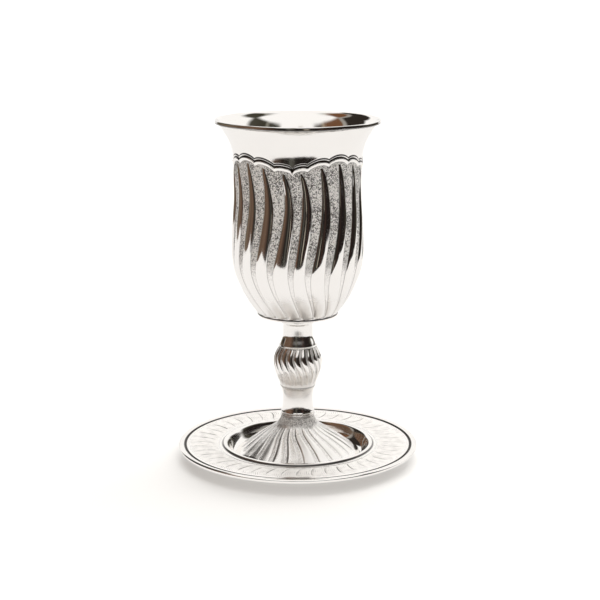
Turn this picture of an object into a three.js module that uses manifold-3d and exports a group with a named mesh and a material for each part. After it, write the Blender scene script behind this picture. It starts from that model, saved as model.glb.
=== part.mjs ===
// Kiddush cup standing in its saucer: a flared silver goblet with S-shaped lobes, a fluted knop
// and a swirled foot, and a dished saucer with a beaded edge.
// Millimetres, +Z up. The origin lies on the table, under the cup's axis, and -Y is the front.

import * as THREE from 'three';
import { mergeVertices } from 'three/addons/utils/BufferGeometryUtils.js';
import Module from 'manifold-3d';

const wasm = await Module();
wasm.setup();

// Driving dimensions.
const SHEET = 0.8; // wall of the raised and stamped pieces
const GAP = 0.3; // clearance between two pieces that touch
const HIDDEN_CUT = 1; // how far a cutter runs past the face that it opens

const SAUCER_RADIUS = 56.1;
const SAUCER_RIM_HEIGHT = 6.5; // middle of the edge bead above the table
const WELL_FLOOR_RADIUS = 29.7;
const WELL_CREST_RADIUS = 34.1;
const WELL_CREST_HEIGHT = 7.6;
const SAUCER_BEAD = 0.97; // radius of the rolled edge

const FOOT_RADIUS = 29.1;
const FOOT_BOTTOM = SHEET + GAP;
const FOOT_EDGE = 1.6; // height of the foot's upright edge
const FOOT_TOP = 21.9;
const FOOT_TOP_RADIUS = 7.5;
const FOOT_FLUTES = 24;
const FOOT_FLUTE_DEPTH = 0.6;

const STEM_BOTTOM = FOOT_TOP + GAP;
const STEM_TOP = 66.4;
const STEM_BORE = 5; // radius
const NECK_RADIUS = 6.9;
const KNOP_BOTTOM = 34.9;
const KNOP_TOP = 54.6;
const KNOP_FLUTES = 20;
const KNOP_FLUTE_DEPTH = 0.8;

const BOWL_BOTTOM = STEM_TOP + GAP;
const BOWL_EDGE_HEIGHT = 69.9; // where the sides turn into the underside
const BOWL_EDGE_RADIUS = 18.7;
const LIP_HEIGHT = 158.9; // middle of the rolled lip
const LIP_RADIUS = 36.7;
const LIP_BEAD = 0.8; // radius of the rolled lip
const LOBES = 20;
const LOBE_RELIEF = 0.8;
const LOBE_COLUMNS = 4;
const LOBE_TIP_ANGLE = 2.25; // degrees from the front to the nearest lobe tip
const LOBE_TIP_DROP = 3.2; // from the top of the scalloped roll down to a lobe's tip

const SWAGS = 4; // the scalloped roll hangs in this many swags round the bowl
const SWAG_LOW = 139.8; // height of the roll's top at the lowest cusps
const SWAG_RISE = 3.3; // from the lowest cusps to the highest
const ARCH_RISE = 0.45; // how far the flattest arch stands above its cusps
const ARCH_SWELL = 1.35; // how much more the tallest arch does
const CUSP_CROWDING = 2.6; // degrees by which cusps crowd towards the low point of a swag
const ROLL_HEIGHT = 1.1;
const ROLL_RELIEF = 0.5;
const WIRE_GAP = 0.9; // from the roll up to the thin wire above it
const WIRE_HEIGHT = 0.7;

const GROOVE_AT = 0.7; // where a flute's groove lies, as a share of the way from crest to crest
const DEGREE = Math.PI / 180;

/** Smooth curve y(x) through a few stations [x, y] given in rising x. */
function smoothThrough(stations) {
  const slopes = stations.map((station, i) => {
    const before = stations[Math.max(i - 1, 0)];
    const after = stations[Math.min(i + 1, stations.length - 1)];
    return (after[1] - before[1]) / (after[0] - before[0]);
  });
  return (x) => {
    let i = 0;
    while (i < stations.length - 2 && x > stations[i + 1][0]) i += 1;
    const [x0, y0] = stations[i];
    const [x1, y1] = stations[i + 1];
    const span = x1 - x0;
    const t = THREE.MathUtils.clamp((x - x0) / span, 0, 1);
    const blend = t * t * (3 - 2 * t);
    const leave = t * (1 - t) * (1 - t) * slopes[i] * span;
    const arrive = t * t * (t - 1) * slopes[i + 1] * span;
    return y0 * (1 - blend) + y1 * blend + leave + arrive;
  };
}

/** Points of an arc in the turning plane, angles in degrees from the +radius direction. */
function arcPoints(radius, height, size, from, to, steps) {
  return Array.from({ length: steps + 1 }, (unused, i) => {
    const angle = (from + ((to - from) * i) / steps) * DEGREE;
    return new THREE.Vector2(radius + size * Math.cos(angle), height + size * Math.sin(angle));
  });
}

/**
 * Closed skin turned about +Z from an outline that runs up the outside. The optional carve
 * function takes the column, the row and the turned point {angle, radius, height}, angles in
 * degrees from the front, and gives the carved one.
 */
function turned(outline, columns, carve = null) {
  const geometry = new THREE.LatheGeometry(outline, columns);
  geometry.rotateX(Math.PI / 2);
  if (carve) {
    const places = geometry.attributes.position;
    for (let i = 0; i < places.count; i += 1) {
      const column = Math.floor(i / outline.length) % columns;
      const row = i % outline.length;
      const turn = { angle: (360 * column) / columns, radius: outline[row].x, height: outline[row].y };
      const { angle, radius, height } = carve(column, row, turn);
      places.setXYZ(i, radius * Math.sin(angle * DEGREE), -radius * Math.cos(angle * DEGREE), height);
    }
  }
  return welded(geometry);
}

/** The same skin with its vertices shared and without triangles that have shrunk to a line. */
function welded(geometry) {
  geometry.deleteAttribute('normal');
  geometry.deleteAttribute('uv');
  const shared = mergeVertices(geometry);
  const corners = shared.index.array;
  const kept = [];
  for (let i = 0; i < corners.length; i += 3) {
    const [a, b, c] = corners.slice(i, i + 3);
    if (a !== b && b !== c && c !== a) kept.push(a, b, c);
  }
  shared.setIndex(kept);
  return shared;
}

/** What is left of a closed skin once another closed skin is cut out of it. */
function hollowed(body, cavity) {
  const [whole, cutter] = [body, cavity].map((skin) => new wasm.Manifold(new wasm.Mesh({
    numProp: 3,
    vertProperties: new Float32Array(skin.attributes.position.array),
    triVerts: new Uint32Array(skin.index.array),
  })));
  const { vertProperties, triVerts } = whole.subtract(cutter).getMesh();
  const geometry = new THREE.BufferGeometry();
  geometry.setAttribute('position', new THREE.BufferAttribute(new Float32Array(vertProperties), 3));
  geometry.setIndex(Array.from(triVerts));
  return geometry;
}

/** Radius of the bowl's outside, over the crests of the lobes, by height. */
const bowlRadius = smoothThrough([
  [BOWL_EDGE_HEIGHT, BOWL_EDGE_RADIUS], [76.5, 23.1], [82.5, 26.3], [88.5, 28.6], [95, 30],
  [102, 30.4], [112, 30.1], [125, 29.4], [138, 29.4], [146, 30.2], [151, 31.8], [155.5, 34.4],
  [LIP_HEIGHT - 0.6, LIP_RADIUS],
]);

/** Degrees by which a lobe's middle swings to the right of its tip, by height: one long S. */
const lobeSway = smoothThrough([
  [BOWL_EDGE_HEIGHT, 12], [82, 2.2], [94, -1.2], [109, 2.4], [124, 5.1], [136.5, 2], [142, 0],
]);

/** Width of a lobe in degrees, by height: a point at its tip, nearly the whole pitch at its foot. */
const lobeWidth = smoothThrough([
  [BOWL_EDGE_HEIGHT, 16.6], [96, 12], [116, 9.3], [131, 6.4], [138, 2.4],
]);

/** Height of the top of the scalloped roll, by angle in degrees. */
function scallopHeight(angle) {
  const pitch = 360 / LOBES;
  const fromCusp = (angle - LOBE_TIP_ANGLE + pitch / 2) * DEGREE;
  const swing = (1 - Math.cos(SWAGS * fromCusp)) / 2;
  const arch = Math.abs(Math.sin((LOBES / 2) * fromCusp));
  return SWAG_LOW + SWAG_RISE * swing + (ARCH_RISE + ARCH_SWELL * swing) * arch;
}

/** How far a point of the scalloped border is moved round so that cusps crowd at the swags' lows. */
function cuspShift(angle) {
  const fromCusp = angle - LOBE_TIP_ANGLE + 180 / LOBES;
  return -CUSP_CROWDING * Math.sin(SWAGS * fromCusp * DEGREE);
}

/** The goblet's bowl: lobed below, a scalloped roll and wire round it, plain and flared above. */
function bowl() {
  const lobed = [70.6, 74, 79, 86, 95, 105, 117, 129].map((height) => ({
    height, relief: 1,
  }));
  const border = [
    { above: -LOBE_TIP_DROP, relief: 0.25 },
    { above: -ROLL_HEIGHT, proud: 0 },
    { above: -ROLL_HEIGHT / 2, proud: ROLL_RELIEF },
    { above: 0, proud: 0 },
    { above: WIRE_GAP, proud: ROLL_RELIEF / 2 },
    { above: WIRE_GAP + WIRE_HEIGHT, proud: 0 },
  ];
  const collar = [148, 152, 155.5].map((height) => ({ height, plain: true }));
  const rows = [...lobed, ...border, ...collar];
  const underside = [
    new THREE.Vector2(0, BOWL_BOTTOM),
    new THREE.Vector2(7.8, BOWL_BOTTOM),
    new THREE.Vector2(BOWL_EDGE_RADIUS - 0.6, BOWL_EDGE_HEIGHT - 0.5),
  ];
  const sides = rows.map(({ height = SWAG_LOW }) => new THREE.Vector2(bowlRadius(height), height));
  const lip = arcPoints(LIP_RADIUS, LIP_HEIGHT, LIP_BEAD, -60, 90, 3);
  const outline = [...underside, ...sides, ...lip, new THREE.Vector2(0, LIP_HEIGHT + LIP_BEAD)];

  const pitch = 360 / LOBES;
  const skin = turned(outline, LOBES * LOBE_COLUMNS, (column, row, turn) => {
    const side = rows[row - underside.length];
    if (!side || side.plain) return turn;
    const tip = LOBE_TIP_ANGLE + Math.floor(column / LOBE_COLUMNS) * pitch;
    const step = column % LOBE_COLUMNS;
    const across = step / (LOBE_COLUMNS - 1) - 0.5;
    const crowned = step === 0 || step === LOBE_COLUMNS - 1 ? 0 : 1;
    if (side.proud !== undefined) {
      const even = tip + (step / LOBE_COLUMNS - 0.5) * pitch;
      const height = scallopHeight(even) + side.above;
      const radius = bowlRadius(height) - LOBE_RELIEF / 4 + side.proud;
      return { angle: even + cuspShift(even), radius, height };
    }
    const height = side.height ?? scallopHeight(tip) + side.above;
    const angle = tip + lobeSway(height) + lobeWidth(height) * across;
    const ground = LOBE_RELIEF * (1 - crowned * side.relief);
    return { angle, radius: bowlRadius(height) - ground, height };
  });

  const inner = [76, 82, 89, 98, 112, 136, 147, 152, 156].map((height) => (
    new THREE.Vector2(bowlRadius(height) - LOBE_RELIEF - SHEET, height)
  ));
  const cavity = turned([
    new THREE.Vector2(0, BOWL_BOTTOM + SHEET),
    new THREE.Vector2(7.8, BOWL_BOTTOM + SHEET),
    new THREE.Vector2(17.3, 70.2),
    new THREE.Vector2(18.7, 72.3),
    ...inner,
    new THREE.Vector2(LIP_RADIUS - 0.7, LIP_HEIGHT + LIP_BEAD),
    new THREE.Vector2(LIP_RADIUS - 0.7, LIP_HEIGHT + LIP_BEAD + HIDDEN_CUT),
    new THREE.Vector2(0, LIP_HEIGHT + LIP_BEAD + HIDDEN_CUT),
  ], 36);
  return hollowed(skin, cavity);
}

/** The baluster stem: plain neck, knop with slanting flutes between two rings, plain waist. */
function stem() {
  const outline = [
    new THREE.Vector2(STEM_BORE, STEM_BOTTOM),
    new THREE.Vector2(7.6, STEM_BOTTOM),
    new THREE.Vector2(7.3, 23.2),
    new THREE.Vector2(NECK_RADIUS, 25.4),
    new THREE.Vector2(NECK_RADIUS, 28.4),
    new THREE.Vector2(7.6, 32.3),
    new THREE.Vector2(8.8, KNOP_BOTTOM),
    new THREE.Vector2(9.9, 37.4),
    new THREE.Vector2(10.7, 40.4),
    new THREE.Vector2(11.2, 44),
    new THREE.Vector2(11.2, 47),
    new THREE.Vector2(10.7, 50.2),
    new THREE.Vector2(9.8, 52.7),
    new THREE.Vector2(8.9, KNOP_TOP),
    new THREE.Vector2(8.9, 55.3),
    new THREE.Vector2(7.5, 57.2),
    new THREE.Vector2(NECK_RADIUS, 60),
    new THREE.Vector2(NECK_RADIUS, 64.4),
    new THREE.Vector2(7.5, 65.2),
    new THREE.Vector2(7.5, STEM_TOP),
    new THREE.Vector2(STEM_BORE, STEM_TOP),
    new THREE.Vector2(STEM_BORE, STEM_BOTTOM),
  ];
  const slant = smoothThrough([[KNOP_BOTTOM, 4], [40, 2], [46, -6], [51, -9], [KNOP_TOP, -8]]);
  return turned(outline, KNOP_FLUTES * 2, (column, row, turn) => {
    const onKnop = turn.height > KNOP_BOTTOM && turn.height < KNOP_TOP && turn.radius > STEM_BORE;
    if (!onKnop) return turn;
    const groove = column % 2;
    const lean = (groove * (GROOVE_AT - 0.5) * 360) / KNOP_FLUTES;
    return {
      angle: turn.angle + slant(turn.height) + lean,
      radius: turn.radius - groove * KNOP_FLUTE_DEPTH,
      height: turn.height,
    };
  });
}

/** Height of the foot's top face by radius. */
const footHeight = smoothThrough([
  [8.1, 18.9], [10, 16.3], [13, 14.1], [17, 11.5], [21, 8.7], [25, 5.7], [27.2, 4.1],
  [FOOT_RADIUS, FOOT_BOTTOM + FOOT_EDGE],
]);

/** The domed foot, a hollow shell open below, with flutes that swirl down to a plain edge. */
function foot() {
  const fluted = [8.4, 9.6, 11.5, 14.5, 18, 21.5, 25];
  const outline = [
    new THREE.Vector2(0, FOOT_BOTTOM),
    new THREE.Vector2(FOOT_RADIUS, FOOT_BOTTOM),
    new THREE.Vector2(FOOT_RADIUS, FOOT_BOTTOM + FOOT_EDGE - 0.3),
    new THREE.Vector2(FOOT_RADIUS - 0.5, FOOT_BOTTOM + FOOT_EDGE + 0.2),
    new THREE.Vector2(26.8, footHeight(26.8)),
    ...fluted.toReversed().map((radius) => new THREE.Vector2(radius, footHeight(radius))),
    new THREE.Vector2(7.7, 19.4),
    new THREE.Vector2(FOOT_TOP_RADIUS, FOOT_TOP),
    new THREE.Vector2(0, FOOT_TOP),
  ];
  const swirl = smoothThrough([[8, 8], [10, 0], [14, 2], [18, 6], [22, 9], [25, 9.5]]);
  const skin = turned(outline, FOOT_FLUTES * 2, (column, row, turn) => {
    if (!fluted.includes(turn.radius) || turn.height < FOOT_BOTTOM + FOOT_EDGE) return turn;
    const groove = column % 2;
    const lean = (groove * (GROOVE_AT - 0.5) * 360) / FOOT_FLUTES;
    return {
      angle: turn.angle + swirl(turn.radius) + lean,
      radius: turn.radius,
      height: turn.height - groove * FOOT_FLUTE_DEPTH,
    };
  });
  const inside = [26, 21, 15, 10].map((radius) => (
    new THREE.Vector2(radius, footHeight(radius) - SHEET - FOOT_FLUTE_DEPTH - 0.4)
  ));
  const cavity = turned([
    new THREE.Vector2(0, FOOT_BOTTOM - HIDDEN_CUT),
    new THREE.Vector2(FOOT_RADIUS - SHEET, FOOT_BOTTOM - HIDDEN_CUT),
    new THREE.Vector2(FOOT_RADIUS - SHEET, FOOT_BOTTOM + 0.4),
    ...inside,
    new THREE.Vector2(6.2, 18.2),
    new THREE.Vector2(5.8, FOOT_TOP - SHEET - 0.4),
    new THREE.Vector2(0, FOOT_TOP - SHEET - 0.4),
  ], 32);
  return hollowed(skin, cavity);
}

/** The saucer: a flat well with a raised crest round it, a broad rim and a rolled edge. */
function saucer() {
  const beadMiddle = SAUCER_RADIUS - SAUCER_BEAD;
  return turned([
    new THREE.Vector2(0, 0),
    new THREE.Vector2(WELL_FLOOR_RADIUS - 0.4, 0),
    new THREE.Vector2(31.8, 1.1),
    new THREE.Vector2(33.4, 5.4),
    new THREE.Vector2(36, SAUCER_RIM_HEIGHT - 0.8),
    new THREE.Vector2(beadMiddle - 0.8, SAUCER_RIM_HEIGHT - 0.5),
    ...arcPoints(beadMiddle, SAUCER_RIM_HEIGHT, SAUCER_BEAD, -90, 100, 4),
    new THREE.Vector2(beadMiddle - 1.2, SAUCER_RIM_HEIGHT + 0.45),
    new THREE.Vector2(36.2, SAUCER_RIM_HEIGHT + 0.15),
    new THREE.Vector2(35.1, WELL_CREST_HEIGHT - 0.35),
    new THREE.Vector2(WELL_CREST_RADIUS, WELL_CREST_HEIGHT),
    new THREE.Vector2(33.2, WELL_CREST_HEIGHT - 0.6),
    new THREE.Vector2(31.6, 2.6),
    new THREE.Vector2(WELL_FLOOR_RADIUS, SHEET),
    new THREE.Vector2(0, SHEET),
  ], 56);
}

/** A named piece of polished silver. */
function silver(name, geometry, roughness) {
  const material = new THREE.MeshStandardMaterial({ color: 0xe9e4df, roughness, metalness: 1 });
  const piece = new THREE.Mesh(geometry, material);
  piece.name = name;
  return piece;
}

const cup = new THREE.Group();
cup.add(silver('bowl', bowl(), 0.12));
cup.add(silver('stem', stem(), 0.14));
cup.add(silver('foot', foot(), 0.18));
cup.add(silver('saucer', saucer(), 0.16));

export default cup;
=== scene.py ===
"""Looks of a kiddush cup in its saucer: chased, polished and stippled silver on a white table.

Lengths in this file are millimetres, turned into metres where a mesh is written, and angles are
degrees counted from the front (-Y) towards the right (+X), unless a name says otherwise.
"""

import logging
import math
from collections.abc import Callable, Sequence
from dataclasses import dataclass, field
from enum import Enum

import bmesh
import bpy
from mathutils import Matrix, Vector, noise


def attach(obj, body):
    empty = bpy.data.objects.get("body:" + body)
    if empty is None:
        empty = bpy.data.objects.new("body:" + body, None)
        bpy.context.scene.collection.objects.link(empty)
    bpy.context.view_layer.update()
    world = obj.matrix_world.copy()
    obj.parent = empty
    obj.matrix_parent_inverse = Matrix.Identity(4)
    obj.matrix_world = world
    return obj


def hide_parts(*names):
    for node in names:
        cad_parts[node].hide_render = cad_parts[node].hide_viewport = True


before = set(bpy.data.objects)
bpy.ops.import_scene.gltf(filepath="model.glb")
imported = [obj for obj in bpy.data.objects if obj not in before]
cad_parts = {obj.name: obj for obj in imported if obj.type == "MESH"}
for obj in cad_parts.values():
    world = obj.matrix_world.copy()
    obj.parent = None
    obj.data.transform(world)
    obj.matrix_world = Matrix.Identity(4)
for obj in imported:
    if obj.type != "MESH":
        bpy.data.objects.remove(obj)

log = logging.getLogger("kiddush_cup")

MM = 0.001
BODY = "root"
GROUND = "ground"  # point attribute: 1 where the silver is matt and stippled
TARNISH_AND_SHADE = "tarnish_and_shade"  # point attribute: 1 in a recess that polishing doesn't reach, and on painted shade lines at the bowl's hem and lip; painted light thins it on the knop's lower half
SATIN = "satin"  # point attribute: 1 where a cloth doesn't reach to polish, without stippling
LEAN = "lean"  # point attribute: degrees by which a chased pattern has swung round the piece
SHEET = 0.8  # gauge of the raised silver
GAP = 0.3  # clearance under a piece that stands on another
SHARP = 62  # degrees between two faces from which their edge is shaded sharp
OXIDE_AND_SHADE = (0.035, 0.028, 0.023, 1)  # colour of old tarnish, and of the painted shade lines at the bowl's hem and lip
WHITE = (1.0, 0.985, 0.965)  # colour of the light and of the white screens round the table

Ring = tuple[float, float, float]  # height, half the width and relief of a raised ring
Colour = tuple[float, float, float]
Paint = tuple[float, float, float, float]
Ends = tuple[float, float, float, float]  # left, right, near and far ends of a flat sheet


class Zone(Enum):
    """Which face of a piece a row of its outline lies on."""

    UNDER = "under"
    SIDE = "side"
    EDGE = "edge"
    INSIDE = "inside"


@dataclass(frozen=True)
class Row:
    """One point of an outline: where it is, and which face it belongs to."""

    radius: float
    height: float
    zone: Zone


@dataclass
class Spot:
    """One carved point of a turned skin, and how its surface is finished."""

    angle: float
    radius: float
    height: float
    ground: float = 0.0
    tarnish_and_shade: float = 0.0
    satin: float = 0.0
    lean: float = 0.0


Carve = Callable[[float, Row], Spot]
Curve = Callable[[float], float]


def clamp(value: float, low: float = 0.0, high: float = 1.0) -> float:
    """The value, held between low and high."""
    return max(low, min(high, value))


def ease(low: float, high: float, value: float) -> float:
    """0 at low, 1 at high, with a smooth S between; low may be above high."""
    t = clamp((value - low) / (high - low))
    return t * t * (3 - 2 * t)


def around(angle: float) -> float:
    """The angle, brought to between -180 and 180."""
    return (angle + 180) % 360 - 180


def bulge(height: float, middle: float, half: float) -> float:
    """Section of a half-round ring: 1 at its middle, 0 from half its width."""
    return math.sqrt(max(0.0, 1 - ((height - middle) / half) ** 2))


def spread(first: float, last: float, step: float) -> list[float]:
    """Evenly spaced values from first to last, both kept, about a step apart."""
    count = max(1, round(abs(last - first) / step))
    return [first + (last - first) * i / count for i in range(count + 1)]


def smooth_through(*stations: tuple[float, float]) -> Curve:
    """A smooth curve through a few stations.

    Args:
        stations: (place, value) pairs in rising order of place.

    Returns:
        A function from place to value, level beyond the first and last station.
    """
    slopes = []
    for i in range(len(stations)):
        (x0, y0), (x1, y1) = stations[max(i - 1, 0)], stations[min(i + 1, len(stations) - 1)]
        slopes.append((y1 - y0) / (x1 - x0))

    def curve(x: float) -> float:
        """Value at x."""
        i = 0
        while i < len(stations) - 2 and x > stations[i + 1][0]:
            i += 1
        (x0, y0), (x1, y1) = stations[i], stations[i + 1]
        span = x1 - x0
        t = clamp((x - x0) / span)
        blend = t * t * (3 - 2 * t)
        leave = t * (1 - t) * (1 - t) * slopes[i] * span
        arrive = t * t * (t - 1) * slopes[i + 1] * span
        return y0 * (1 - blend) + y1 * blend + leave + arrive

    return curve


def crowd_edges(share: float) -> float:
    """Moves evenly spaced shares closer to 0 and 1, so that steep edges get more of the mesh."""
    return share + 0.6 * ((1 - math.cos(math.pi * share)) / 2 - share)


def outline(
    zone: Zone, *points: tuple[float, float], origin: tuple[float, float] = (0.0, 0.0)
) -> list[Row]:
    """Rows of one face.

    Args:
        zone: the face.
        points: radius and height of each row.
        origin: radius and height that the points are counted from.

    Returns:
        The rows.
    """
    return [Row(origin[0] + radius, origin[1] + height, zone) for radius, height in points]


def arc_rows(
    centre: tuple[float, float], size: float, start: float, end: float, steps: int
) -> list[Row]:
    """Rows of a rounded edge.

    Args:
        centre: radius and height of the arc's centre.
        size: radius of the arc.
        start: where the arc starts, in degrees up from pointing straight out.
        end: where it ends.
        steps: number of rows less one.

    Returns:
        The rows, on the edge.
    """
    angles = [math.radians(start + (end - start) * i / steps) for i in range(steps + 1)]
    return [
        Row(centre[0] + size * math.cos(a), centre[1] + size * math.sin(a), Zone.EDGE)
        for a in angles
    ]


def speckle(angle: float, radius: float, height: float, grain: float) -> float:
    """Smooth noise of about -1 to 1 at a point, with lumps of about a grain across."""
    a = math.radians(angle)
    place = Vector((radius * math.sin(a), -radius * math.cos(a), height))
    return noise.noise(place / grain)


def turned(
    name: str, rows: Sequence[Row], columns: int, carve: Carve, closed: bool = False
) -> bpy.types.Object:
    """Turns an outline about +Z with the spin operator, then moves each point to its carved place.

    Args:
        name: name of the new object.
        rows: the outline, up the outside and down the inside.
        columns: how many steps make the full turn.
        carve: gives the carved spot for an angle and a row.
        closed: whether the outline closes on itself, where it doesn't end on the axis.

    Returns:
        The object, at the origin, with its place and its finish attributes in its mesh.
    """
    bm = bmesh.new()
    row_layer = bm.verts.layers.int.new("row")
    finish = {name: bm.verts.layers.float.new(name) for name in (GROUND, TARNISH_AND_SHADE, SATIN, LEAN)}
    points = []
    for i, row in enumerate(rows):
        point = bm.verts.new((0, -row.radius * MM, row.height * MM))
        point[row_layer] = i
        points.append(point)
    edges = [bm.edges.new(pair) for pair in zip(points, points[1:])]
    if closed:
        edges.append(bm.edges.new((points[-1], points[0])))
    bmesh.ops.spin(
        bm, geom=points + edges, cent=(0, 0, 0), axis=(0, 0, 1), dvec=(0, 0, 0),
        angle=math.tau, steps=columns, use_merge=True, use_duplicate=False,
    )
    poles = [v for v in bm.verts if v.co.xy.length < MM * 1e-3]
    bmesh.ops.remove_doubles(bm, verts=poles, dist=MM * 1e-3)
    for vert in bm.verts:
        row = rows[vert[row_layer]]
        if row.radius == 0:
            continue
        step = round(math.degrees(math.atan2(vert.co.x, -vert.co.y)) * columns / 360) % columns
        spot = carve(step * 360 / columns, row)
        a = math.radians(spot.angle)
        vert.co = Vector((spot.radius * math.sin(a), -spot.radius * math.cos(a), spot.height)) * MM
        for trait, layer in finish.items():
            vert[layer] = getattr(spot, trait)
    bm.verts.layers.int.remove(row_layer)
    bmesh.ops.recalc_face_normals(bm, faces=bm.faces)
    for face in bm.faces:
        face.smooth = True
    for edge in bm.edges:
        edge.smooth = edge.calc_face_angle(0.0) < math.radians(SHARP)
    mesh = bpy.data.meshes.new(name)
    bm.to_mesh(mesh)
    bm.free()
    piece = bpy.data.objects.new(name, mesh)
    bpy.context.scene.collection.objects.link(piece)
    return piece


@dataclass(frozen=True)
class Swirl:
    """A ring of polished lobes with stippled ribs between them, all leaning the same way.

    Attributes:
        count: number of lobes round the piece.
        first: angle of a lobe's middle where the sway is nothing.
        sway: how far the lobes' middles have swung, by station along them.
        width: a lobe's width in degrees, by station.
        crown: how far a lobe stands above the ribs, by station.
        groove: depth of the chased line along a lobe's left edge, by station.
    """

    count: int
    first: float
    sway: Curve
    width: Curve
    crown: Curve
    groove: Curve = smooth_through((0, 0), (1, 0))

    @property
    def pitch(self) -> float:
        """Degrees from one lobe to the next."""
        return 360 / self.count

    def place(self, column_angle: float, station: float) -> tuple[float, float, float]:
        """Where a column of the mesh runs, so that its lines follow the lobes' edges.

        Args:
            column_angle: the column's angle on the plain turned skin.
            station: place along the lobes.

        Returns:
            The angle it moves to, its place across the lobe (0 to 1, or below 0 on a rib), and
            its place across the rib (0 to 1).
        """
        turn, share = divmod(column_angle / self.pitch, 1)
        middle = self.first + turn * self.pitch + self.sway(station)
        width = self.width(station)
        if share < 0.5:
            across = crowd_edges(share * 2)
            return middle + width * (across - 0.5), across, 0.0
        across = crowd_edges(share * 2 - 1)
        return middle + width / 2 + (self.pitch - width) * across, -1.0, across

    def relief(self, lobe: float, rib: float, station: float) -> tuple[float, float, float]:
        """Height of the surface above the ribs, with its finish.

        Args:
            lobe: place across the lobe, or below 0.
            rib: place across the rib.
            station: place along the lobes.

        Returns:
            The height in millimetres, the share of stippling, and the share of tarnish.
        """
        crown, groove = self.crown(station), self.groove(station)
        if lobe >= 0:
            side = abs(2 * lobe - 1)
            line = ease(0.06, 0.0, lobe)
            swell = crown * (1 - 0.6 * side**2 - 0.4 * side**8) - groove * line
            return swell, 0.0, max(0.5 * ease(0.92, 1.0, side), min(1.0, groove * 3) * line)
        side = abs(2 * rib - 1)
        line = ease(0.86, 1.0, rib)
        swell = crown * 0.18 * (1 - side * side) - groove * line
        dark = max(0.5 * ease(0.9, 1.0, side), min(1.0, groove * 3) * line)
        return swell, ease(1.0, 0.92, side), dark


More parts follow.
